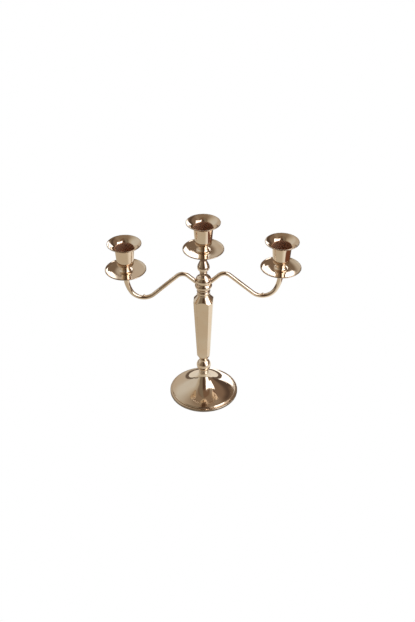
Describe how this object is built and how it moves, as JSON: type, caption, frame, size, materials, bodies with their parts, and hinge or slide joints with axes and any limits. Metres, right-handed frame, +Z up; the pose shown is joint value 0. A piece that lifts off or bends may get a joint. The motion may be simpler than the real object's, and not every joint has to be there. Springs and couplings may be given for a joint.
{
  "type": "tabletop candelabra",
  "caption": "Tabletop candelabra in polished champagne metal: faceted tapered stem on a round flared base, S-curved arms, flared candle cups on drip pans.",
  "frame": {"origin": "centre of the underside, on the table", "axes": "+Z up along the stem, the arms along -X (left) and +X (right), front towards -Y"},
  "size_m": [0.2508, 0.094, 0.2693],
  "materials": {
    "champagne_plating": "mirror-polished champagne and rose-gold plating",
    "zinc_steel": "bright zinc-plated steel",
    "felt": "black wool felt"
  },
  "bodies": {
    "stand": {"base": "champagne_plating", "base_felt": "felt", "base_washer": "zinc_steel", "base_nut": "zinc_steel", "tie_rod": "zinc_steel", "base_collar": "champagne_plating", "ball_knop": "champagne_plating", "column": "champagne_plating", "stem_neck": "champagne_plating", "baluster": "champagne_plating"},
    "branch": {"hub": "champagne_plating", "left_arm": "champagne_plating", "right_arm": "champagne_plating", "left_seat": "champagne_plating", "right_seat": "champagne_plating", "left_stud": "zinc_steel", "right_stud": "zinc_steel"},
    "centre_drip_pan": {"centre_pan": "champagne_plating"},
    "left_drip_pan": {"left_pan": "champagne_plating"},
    "right_drip_pan": {"right_pan": "champagne_plating"},
    "centre_candle_cup": {"centre_cup": "champagne_plating"},
    "left_candle_cup": {"left_cup": "champagne_plating"},
    "right_candle_cup": {"right_cup": "champagne_plating"}
  },
  "joints": [
    {"name": "branch_turn", "type": "hinge", "parent": "stand", "child": "branch", "pos_m": [0, 0, 0.18208], "axis": [0, 0, 1], "continuous": true},
    {"name": "centre_light_turn", "type": "hinge", "parent": "stand", "child": "centre_drip_pan", "pos_m": [0, 0, 0.22772], "axis": [0, 0, 1], "range_deg": [0, 2520]},
    {"name": "centre_cup_rise", "type": "slide", "parent": "centre_drip_pan", "child": "centre_candle_cup", "axis": [0, 0, 1], "range_m": [0, 0.00701]},
    {"name": "left_light_turn", "type": "hinge", "parent": "branch", "child": "left_drip_pan", "pos_m": [-0.099, 0, 0.19904], "axis": [0, 0, 1], "range_deg": [0, 2520]},
    {"name": "left_cup_rise", "type": "slide", "parent": "left_drip_pan", "child": "left_candle_cup", "axis": [0, 0, 1], "range_m": [0, 0.00701]},
    {"name": "right_light_turn", "type": "hinge", "parent": "branch", "child": "right_drip_pan", "pos_m": [0.099, 0, 0.19904], "axis": [0, 0, 1], "range_deg": [0, 2520]},
    {"name": "right_cup_rise", "type": "slide", "parent": "right_drip_pan", "child": "right_candle_cup", "axis": [0, 0, 1], "range_m": [0, 0.00701]}
  ],
  "couplings": [
    {"joint": "centre_cup_rise", "follows": "centre_light_turn", "m_per_rad": 0.00015915},
    {"joint": "left_cup_rise", "follows": "left_light_turn", "m_per_rad": 0.00015915},
    {"joint": "right_cup_rise", "follows": "right_light_turn", "m_per_rad": 0.00015915}
  ]
}
